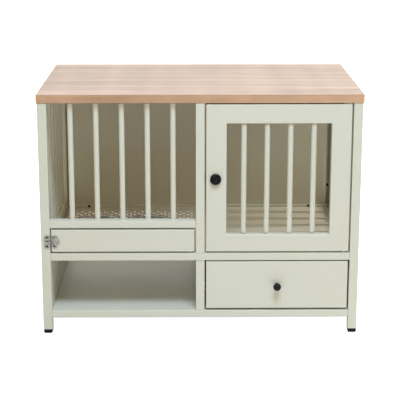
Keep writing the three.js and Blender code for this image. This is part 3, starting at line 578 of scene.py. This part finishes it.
print("front bar pitch:", round(BAR_PITCH, 2), "side bar pitch:", round(SIDE_PITCH, 2))

# %% [markdown]
# Door, drawer front, feeder panel, floors and shelf are all trays of 1.5 mm sheet: a face with
# its edges folded back round a small radius. A cube with a bevel would look solid from behind,
# so the tray is a section, folded edge outside and inside, carried round a rectangle. A window
# is the same fold turned inwards, and the flat face is ruled between the two.

# %% Folded trays
def fold(depth, radius):
    """(inset, depth) pairs: outer skin from face to rim, and inner skin from rim to face."""
    t = np.linspace(0, np.pi / 2, 6)
    bend = np.stack([radius * (1 - np.sin(t)), radius * (1 - np.cos(t))], -1)
    small = max(radius - SHEET, 0.3)
    inner = SHEET + np.stack([small * (1 - np.sin(t)), small * (1 - np.cos(t))], -1)
    return np.concatenate([bend, [[0, depth]]]), np.concatenate([[[SHEET, depth]], inner[::-1]])


def tray(a0, a1, b0, b1, depth, lay, radius=2.2, corner=3.0, window=None):
    """A folded sheet with its face at depth 0; lay(a, b, d) turns drawing values into places."""
    out, back = fold(depth, radius)

    def ring(inset, d, box, sign=1, round_by=corner):
        w0, w1, h0, h1 = box
        s = outline(w0 + sign * inset, w1 - sign * inset, h0 + sign * inset, h1 - sign * inset,
                    max(round_by - sign * inset, 0.1))
        return lay(s[:, 0], s[:, 1], np.full(len(s), d))

    outer = (a0, a1, b0, b1)
    if window is None:
        return grid([ring(i, d, outer) for i, d in np.concatenate([out, back])])
    rows = [ring(i, d, outer) for i, d in out[::-1]]
    rows += [ring(i, d, window, -1, 1.0) for i, d in np.concatenate([out, back])]
    rows += [ring(i, d, outer) for i, d in back[::-1]]
    return grid(rows, close_rows=True)


def upright(a, b, d):
    """Face in the front plane, folded edges going back: (x, y, z) = (a, front + d, b)."""
    return np.stack([a, FRONT + d, b], -1)


def lying(top):
    """Face up at height `top`, folded edges going down: (x, y, z) = (a, b, top - d)."""
    return lambda a, b, d: np.stack([a, b, top - d], -1)


LEFT, RIGHT = 17.3, 441.3             # edges of the door and the drawer front
PANEL_LOW, DOOR_HIGH = 257.2, 701.2   # the feeder panel starts as low as the door
DRAWER_LOW, DRAWER_HIGH = 79.0, 225.7
FOLDED = 20.0                         # depth of the folded edges of door, drawer and feeder
WINDOW = (77.0, 383.5, 310.0, 644.7)  # left, right, low and high edges
FLOOR_IN, FLOOR_OUT = 0.6, 444.8      # ends of each half of the cage floor, from the middle
FLOOR_TOP, FLOOR_RIM = 245.0, 14.1
SHELF_TOP, SHELF_RIM = 72.7, 18.7
BEND = 1.6                            # radius of the floors' and the shelf's folds and corners
piece("door_leaf", tray(LEFT, RIGHT, PANEL_LOW, DOOR_HIGH, FOLDED, upright, window=WINDOW),
      "door", "cream_paint", "door_panel")
piece("drawer_face", tray(LEFT, RIGHT, DRAWER_LOW, DRAWER_HIGH, FOLDED, upright),
      "drawer", "cream_paint", "drawer_front")
piece("right_floor_sheet",
      tray(FLOOR_IN, FLOOR_OUT, -END_Y, END_Y, FLOOR_RIM, lying(FLOOR_TOP), BEND, BEND),
      "frame", "cream_paint", "right_floor_pan")
piece("lower_shelf_sheet",
      tray(-END_X, END_X, -END_Y, END_Y, SHELF_RIM, lying(SHELF_TOP), BEND, BEND),
      "frame", "cream_paint", "lower_shelf")

# %% [markdown]
# The left half of the cage floor is perforated: round holes in staggered rows. A bump or a
# painted dot would not let light through, so the holes are real. One cell is a rectangle of 16
# points round a hole of 16 points; whole arrays place it some 460 times, every other row half a
# cell along, and the weld joins neighbours. A strip and a folded rim close the sheet.

# %% Perforated floor
def rectangle(a0, a1, b0, b1, na, nb):
    """2(na + nb) points round a rectangle, anticlockwise from (a0, b0), evenly along each side."""
    s, t = np.arange(na) / na, np.arange(nb) / nb
    w, h = a1 - a0, b1 - b0
    sides = [np.stack([a0 + w * s, b0 + 0 * s], -1), np.stack([a1 + 0 * t, b0 + h * t], -1),
             np.stack([a1 - w * s, b1 + 0 * s], -1), np.stack([a0 + 0 * t, b1 - h * t], -1)]
    return np.concatenate(sides)


def perforated(x0, x1, y0, y1, top, rim, field, columns, rows, pitch, hole):
    """Cells round holes, blank half cells at the ends of odd rows, then the border and the rim."""
    px, py = pitch
    fx, fy = field
    edge = rectangle(-px / 2, px / 2, -py / 2, py / 2, 4, 4)
    angle = np.radians(-135 + 22.5 * np.arange(16))
    bore = hole / 2 * np.stack([np.cos(angle), np.sin(angle)], -1)
    cell = np.stack([carried(edge, 2, top), carried(bore, 2, top),
                     carried(bore, 2, top - SHEET), carried(edge, 2, top - SHEET)])
    i, j = np.meshgrid(np.arange(columns), np.arange(rows))
    inside = ~((j % 2 == 1) & (i == columns - 1))
    shift = np.stack([fx + px * (i + 0.5 + 0.5 * (j % 2)), fy + py * (j + 0.5), 0 * i], -1)[inside]
    points = (shift[:, None, None, :] + cell).reshape(-1, 3)
    faces = (np.arange(len(shift))[:, None, None] * 64 + quads(4, 16)).reshape(-1, 4).tolist()
    shapes = [(points, faces)]
    u, v = np.meshgrid(np.linspace(0, px / 2, 3), np.linspace(0, py, 5), indexing="ij")
    for row in range(1, rows, 2):
        for start in (fx, fx + px * (columns - 0.5)):
            for z in (top, top - SHEET):
                flat = np.stack([start + u, fy + py * row + v, z + 0 * u], -1)
                shapes.append(grid(flat, close_columns=False, caps=False))
    n, m = columns * 4, rows * 4
    out, back = fold(rim, BEND)

    def ring(inset, d):
        return carried(rectangle(x0 + inset, x1 - inset, y0 + inset, y1 - inset, n, m), 2, top - d)

    middle = rectangle(fx, fx + px * columns, fy, fy + py * rows, n, m)
    levels = [carried(middle, 2, top)] + [ring(i, d) for i, d in np.concatenate([out, back])]
    levels.append(carried(middle, 2, top - SHEET))
    shapes.append(grid(levels, caps=False))
    return joined(*shapes)


FIELD = (-443.0, -252.0)              # left front corner of the cells
COLUMNS, ROWS = 17, 28
HOLE_PITCH, HOLE = (25.4, 18.0), 9.0
left_floor = piece(
    "left_floor_sheet",
    perforated(-FLOOR_OUT, -FLOOR_IN, -END_Y, END_Y, FLOOR_TOP, FLOOR_RIM, FIELD, COLUMNS, ROWS,
               HOLE_PITCH, HOLE), "frame", "cream_paint", "left_floor_pan", weld=0.02)
print("perforated floor faces:", len(left_floor.data.polygons))

# %% [markdown]
# Back panels and lower side panels are pressed sheets whose sections the CAD already gives, and
# the drawer box, its runners, the bowl rack and the door's strike and cam are plain sheet and
# plate work. Redrawing them would add nothing, so each is a welded copy with its sharp edges
# rounded a little. The back panels are drawn out by the weld gap, or daylight would show as a
# thin line beside the posts.

# %% Pressed panels, drawer box, runners, rack, strike and cam
for side in ("left", "right"):
    softened(f"{side}_lower_panel", "frame", "cream_paint", 0.5)
    softened(f"{side}_drawer_runner", "frame", "zinc_plate", 0.4)
for level in ("upper", "lower"):
    softened(f"rear_{level}_panel", "frame", "cream_paint", 0.5, drawn=GAP)
softened("drawer_box", "drawer", "cream_paint", 0.5)
softened("bowl_rack", "feeder", "cream_paint", 0.6)
softened("door_strike", "frame", "black_satin", 0.4)
softened("door_cam", "door_lock", "black_satin", 0.6)

# %% [markdown]
# The feet are moulded caps pushed into the post ends: wider than they are tall, with a rounded
# sole. They are a stack of round-cornered rectangles again, each row an inset and a height, and
# the plug goes up into the tube.

# %% Feet
SOLE = np.array([[5.0, 0], [3.2, 0.35], [1.9, 1.1], [1.0, 2.2], [0.4, 3.7], [0.1, 5.6], [0, 8],
                 [0, 12], [0.3, 12.7], [0.9, 13], [2.6, 13], [2.6, 26], [3.4, 27]])
CAP_INSET, CAP_CORNER = 0.4, 3.0      # the cap's sides stand in from the post's
for end, y0 in ENDS:
    for side, x0 in SIDES:
        x1, y1 = x0 + POST_WIDTH - CAP_INSET, y0 + POST_DEPTH - CAP_INSET
        shape = stack(SOLE, x0 + CAP_INSET, x1, y0 + CAP_INSET, y1, CAP_CORNER)
        piece(f"{end}_{side}_cap", shape, "frame", "black_rubber", f"{end}_{side}_glide")

# %% [markdown]
# The door turns on two hidden pins, so it needs no hinge leaves. Its bars have drawn-in, domed
# ends that stand on the window's folded edge. The knob is a low black disc with a raised rim and
# a finger bar across it, and it turns a spindle. The finger bar is a round-ended block set at a
# slant, and all the rest are turned profiles. The disc's corners are rounded by short curves.

# %% Door bars, pins and turn knob
PIVOT_PLANE, PIVOT_INSET = FRONT + 10, 13    # pins' axes, from the front and from a right edge
PIN, COLLAR, CHAMFER = 4, 7, 0.6             # radii of pin and collar, and the pins' chamfer
INTO_RAIL = MID_RAIL + RAIL - 4              # where the lower pins end inside the mid rail


def pin(name, low, high, node, collar=None):
    """A door pin with small chamfers, and a collar that it rides on if one is given."""
    profile = [[0, low], [PIN - CHAMFER, low], [PIN, low + CHAMFER]]
    if collar:
        profile += [[PIN, collar[0]], [COLLAR, collar[0]], [COLLAR, collar[1]], [PIN, collar[1]]]
    profile += [[PIN, high - CHAMFER], [PIN - CHAMFER, high], [0, high]]
    shape = turned(profile, 24, (RIGHT - PIVOT_INSET, PIVOT_PLANE, 0))
    return piece(name, shape, "door", "zinc_plate", node)


low, high = WINDOW[2] + GAP, WINDOW[3] - GAP
DOME = np.array([[0, 0], [4.4, 0.0], [5.6, 0.7], [6.7, 2.0], [7.4, 3.8], [7.8, 6.2], [8.0, 9.5]])
DOOR_BAR_PITCH, DOOR_BAR_PLANE = 68.2, FRONT + 13
for i in range(4):
    x = (WINDOW[0] + WINDOW[1]) / 2 + (i - 1.5) * DOOR_BAR_PITCH
    profile = np.concatenate([DOME + [0, low], DOME[::-1] * [1, -1] + [0, high]])
    piece(f"door_bar_{i + 1}_tube", turned(profile, 40, (x, DOOR_BAR_PLANE, 0)),
          "door", "cream_paint", f"door_bar_{i + 1}", crease=60)
pin("door_top_pivot", low=687.2, high=FRAME_TOP - 0.5, node="door_pin_top")
pin("door_bottom_pivot", low=INTO_RAIL, high=271.2, node="door_pin_bottom",
    collar=(MID_RAIL + RAIL + GAP, 256.9))

KNOB = (45.0, FRONT - GAP, 479.0)     # middle of the knob's back, on the door's face


def finger_bar(half_length, half_width, low, high, degrees):
    """A round-ended block, turned in the face plane and sent out of the front along -Y."""
    points, faces = stack(eased(low, high, 0.9), -half_length, half_length,
                          -half_width, half_width, half_width - 0.1)
    turn = math.radians(degrees)
    a = points[:, 0] * math.cos(turn) - points[:, 1] * math.sin(turn)
    b = points[:, 0] * math.sin(turn) + points[:, 1] * math.cos(turn)
    return np.stack([KNOB[0] + a, KNOB[1] - points[:, 2], KNOB[2] + b], -1), faces


disc = rounded([[0, 0], [14.6, 0], [16.5, 0.9], [16.5, 7.2], [15.0, 8.4], [13.2, 8.4], [12.2, 6.4],
                [0, 5.6]], 0.8)
spindle = [[0, -38.3], [3.4, -38.3], [4, -37.7], [4, 0.5], [0, 0.5]]
knob_parts = [turned(disc, 64, KNOB, "front"), turned(spindle, 24, KNOB, "front"),
              finger_bar(half_length=12.3, half_width=2.6, low=4.0, high=12.9, degrees=50)]
piece("turn_knob", joined(*knob_parts), "door_lock", "black_satin", "door_knob")

# %% [markdown]
# The drawer knob is a small black mushroom on a waisted stem. The stem and head are one turned
# profile; rounding its corners by quadratic curves keeps the waist soft.

# %% Drawer knob
PULL = (229.5, FRONT - GAP, 152.0)    # middle of the stem's foot, on the drawer's face
mushroom = rounded([[0, 0], [7.5, 0], [7.5, 1.6], [5.0, 4.4], [4.6, 10.5], [7.0, 14.2],
                    [11.2, 15.6], [12, 18.6], [11.6, 22.4], [8.6, 26.4], [4.5, 28], [0, 28]], 1.6)
piece("pull_knob", turned(mushroom, 64, PULL, "front"),
      "drawer", "black_satin", "drawer_knob", crease=60)

# %% [markdown]
# The feeder panel is a narrow tray with two bare pins welded to it. Two spun steel bowls hang in
# the rack behind it. A bowl is one closed turned profile: rolled rim, tapering wall and flat
# base, outside and inside. The distance from its axis is stored on every point for the turning
# marks.

# %% Feeder panel and bowls
FEEDER_LEFT, FEEDER_RIGHT, FEEDER_HIGH = -442.2, -17.5, 325.0
panel = tray(FEEDER_LEFT, FEEDER_RIGHT, PANEL_LOW, FEEDER_HIGH, FOLDED, upright)
piece("feeder_front", panel, "feeder", "cream_paint", "feeder_panel")
pivot = (FEEDER_RIGHT - PIVOT_INSET, PIVOT_PLANE, 0)
# Each row is a radius and the heights of the two ends.
parts = [(PIN, 317.0, BAR_RAIL + 4), (PIN, INTO_RAIL, 265.2), (COLLAR, 252.7, 257.7)]
pins = [turned([[0, a], [r, a], [r, b], [0, b]], 24, pivot) for r, a, b in parts]
piece("feeder_pins", joined(*pins), "feeder", "zinc_plate")

RIM = 322.6                           # height of the rolled rims
wall = rounded([[0, -56], [44, -56], [52, -53.5], [59, -44], [65.4, -22], [67.3, -5], [67.5, -2.4],
                [71.6, -2.4], [73, -1.7], [73, -0.5], [72.0, 0], [68.2, 0], [66.7, -1.0],
                [66.0, -5], [64.0, -22], [57.4, -43.4], [51, -52], [43.5, -54.8], [0, -54.8]], 3.0)
BOWL_PLANE = FRONT + 110              # the bowls' axes
for side, x in (("left", -308.0), ("right", -157.0)):
    centre = np.array([x, BOWL_PLANE, RIM])
    made = piece(f"steel_bowl_{side}", turned(wall, 128, centre), f"{side}_bowl", "bowl_steel",
                 f"bowl_{side}", crease=70)
    away = places(made.data)[:, :2] - (centre + TO_FRAME)[:2] * MM
    mark = made.data.attributes.new("from_axis", "FLOAT", "POINT")
    mark.data.foreach_set("value", np.hypot(*away.T).astype(np.float32))

# %% [markdown]
# The small zinc latch has a base with a headed stud on the panel, a crescent lever and a keeper
# on the post. Their outlines come from the CAD; rounding the edges makes them look stamped.
# Screws are turned heads with a small socket in the plates' holes. The same shape in black or
# zinc makes the bolts that show inside, at the foot of the back wall and in the dark channels
# beside it.

# %% Latch, screws and bolts
softened("latch_base", "feeder", "zinc_plate", 0.35)
softened("latch_lever", "latch", "zinc_plate", 0.45)
softened("latch_keeper", "frame", "zinc_plate", 0.35)


def screw_heads(name, body, finish, radius, height, spots):
    """Domed heads facing front: h = height * sqrt(1 - (r/radius)^2), with a socket in the middle."""
    r = radius * np.array([1.0, 0.97, 0.9, 0.78, 0.62, 0.45])
    dome = np.stack([r, 0.25 * height + 0.75 * height * np.sqrt(1 - (r / radius) ** 2)], -1)
    socket = [[0.36 * radius, 0.92 * height], [0.32 * radius, 0.45 * height], [0, 0.35 * height]]
    profile = np.concatenate([[[0, -0.5], [radius, -0.5]], dome, socket])
    heads = [turned(profile, 28, spot, "front") for spot in spots]
    return piece(name, joined(*heads), body, finish, crease=50)


PLATE = 2.0
LATCH_FACE, LATCH_HEIGHT, SCREW_STEP = FRONT - GAP - PLATE, 289, 13.5
for name, body, x in (("keeper_screws", "frame", -455.0), ("latch_screws", "feeder", -433.0)):
    spots = [(x, LATCH_FACE, LATCH_HEIGHT + SCREW_STEP * s) for s in (-1, 1)]
    screw_heads(name, body, "black_satin", 3.1, 1.5, spots)
for name, finish, radius, height, x, y, z in (
        ("rear_bolts_black", "black_satin", 4.2, 3.2, 374.0, INNER_BACK, 249.0),
        ("rear_bolts_zinc", "zinc_plate", 3.4, 2.6, 440.0, INNER_BACK, 248.6),
        ("channel_bolts", "black_satin", 4.2, 3.0, 439.8, 295.0, 316.0)):
    screw_heads(name, "frame", finish, radius, height, [(-x, y, z), (x, y, z)])

# %% [markdown]
# The studio: one pale floor and a white surround. The key lamp stands steeply above the front,
# because the photo's cage is dim at the back while its front is bright. A weak lamp by the
# camera and a broad one overhead open the shade, a narrow one on the right lays the side bars'
# shadows on the cage floor, a broad one behind gives the board its pale sheen, and a warm
# surround fills the rest. The floor is a plain disc. What the camera sees of floor and surround
# is white by Light Path, not by more light.

# %% Floor
FLOOR_RADIUS, FLOOR_SIDES, FLOOR_DROP = 60, 96, 0.0004    # metres, points, metres
floor_mesh = bpy.data.meshes.new("studio_floor")
turn = np.linspace(0, 2 * np.pi, FLOOR_SIDES, endpoint=False)
edge = np.stack([FLOOR_RADIUS * np.cos(turn), FLOOR_RADIUS * np.sin(turn), 0 * turn], -1)
floor_mesh.from_pydata(edge.tolist(), [], [list(range(FLOOR_SIDES))])
studio_floor = bpy.data.objects.new("studio_floor", floor_mesh)
bpy.context.scene.collection.objects.link(studio_floor)
studio_floor.location.z = -FLOOR_DROP
tree, shader = blank_material("pale_floor")
shader.inputs["Base Color"].default_value = (0.86, 0.86, 0.86, 1)
shader.inputs["Roughness"].default_value = 0.9
shader.inputs["Specular IOR Level"].default_value = 0.2
seen = tree.nodes.new("ShaderNodeLightPath")
glow = add(tree, "ShaderNodeEmission", {"Color": (0.93, 0.945, 1, 1), "Strength": 0.97})
none = add(tree, "ShaderNodeEmission", {"Color": (0, 0, 0, 1), "Strength": 0.0})
lift = add(tree, "ShaderNodeMixShader", {0: seen.outputs["Is Camera Ray"]})
tree.links.new(none.outputs[0], lift.inputs[1])
tree.links.new(glow.outputs[0], lift.inputs[2])
both = tree.nodes.new("ShaderNodeAddShader")
tree.links.new(shader.outputs[0], both.inputs[0])
tree.links.new(lift.outputs[0], both.inputs[1])
tree.links.new(both.outputs[0], tree.nodes["Material Output"].inputs["Surface"])
floor_mesh.materials.append(FINISH["pale_floor"])

# %% Surround and lamps
world = bpy.data.worlds.new("studio")
bpy.context.scene.world = world
world.use_nodes = True
tree = world.node_tree
for old in list(tree.nodes):
    tree.nodes.remove(old)
paths = tree.nodes.new("ShaderNodeLightPath")
shown = sum_of(tree, paths.outputs["Is Camera Ray"], paths.outputs["Is Transmission Ray"], "MAXIMUM")
# Fill is what lights matt surfaces, sheen is what gloss mirrors, and white is what is seen.
fill = add(tree, "ShaderNodeBackground", {"Color": (1.0, 0.73, 0.25, 1), "Strength": 0.395})
sheen = add(tree, "ShaderNodeBackground", {"Color": (1, 1, 1, 1), "Strength": 0.72})
white = add(tree, "ShaderNodeBackground", {"Color": (1, 1, 1, 1), "Strength": 1.0})
lit = add(tree, "ShaderNodeMixShader", {0: paths.outputs["Is Glossy Ray"]})
sky = add(tree, "ShaderNodeMixShader", {0: shown})
tree.links.new(fill.outputs[0], lit.inputs[1])
tree.links.new(sheen.outputs[0], lit.inputs[2])
tree.links.new(lit.outputs[0], sky.inputs[1])
tree.links.new(white.outputs[0], sky.inputs[2])
end = tree.nodes.new("ShaderNodeOutputWorld")
tree.links.new(sky.outputs[0], end.inputs["Surface"])


def soft_lamp(name, place, aim_height, size, watts, tint=(1, 1, 1)):
    """A rectangular area lamp at `place`, in metres, that faces the crate's axis at a height."""
    data = bpy.data.lights.new(name, "AREA")
    data.shape = "RECTANGLE"
    data.size, data.size_y = size
    data.energy, data.color = watts, tint
    lamp = bpy.data.objects.new(name, data)
    lamp.location = place
    facing = Vector((0, 0, aim_height)) - Vector(place)
    lamp.rotation_euler = facing.to_track_quat("-Z", "Y").to_euler()
    bpy.context.scene.collection.objects.link(lamp)
    return lamp


soft_lamp("key_light", (0.3, -2.0, 3.3), 0.4, (1.3, 1.0), 99, (0.70, 0.845, 1.0))
soft_lamp("front_light", (0.1, -3.6, 1.7), 0.35, (0.6, 0.35), 3, (0.85, 0.93, 1.0))
soft_lamp("top_light", (0, -0.6, 3.4), 0.7, (3.0, 2.0), 14)
side_lamp = soft_lamp("right_light", (2.6, 0.1, 2.3), 0.3, (0.3, 1.2), 50, (1.0, 0.94, 0.85))
side_lamp.visible_glossy = False      # or its mirror image would glare in the bowls
soft_lamp("back_light", (0, 3.6, 1.8), 0.3, (3.0, 1.4), 11)

# %% [markdown]
# The photograph was taken from a little above and straight in front, with a long lens. The
# camera's place, tilt and lens come from fitting the corners of board, door and feet to their
# places in the picture. A large shift would keep the upright lines parallel, as they are in the
# photograph, but it would push every other view of the crate out of the frame. So there is no
# shift here, and the uprights lean in a little towards the floor.

# %% Camera
bpy.context.scene.view_settings.view_transform = "Standard"
view = bpy.data.cameras.new("photo_view")
view.sensor_width, view.lens = 36.0, 113.37    # millimetres
view.clip_start, view.clip_end = 0.05, 200.0
camera = bpy.data.objects.new("photo_view", view)
camera.location = (-0.034, -3.878, 1.346)
TILT, TURN = 14.51, -0.53             # degrees down, and degrees about the upright axis
camera.rotation_euler = (math.radians(90 - TILT), 0.0, math.radians(TURN))
bpy.context.scene.collection.objects.link(camera)
bpy.context.scene.camera = camera
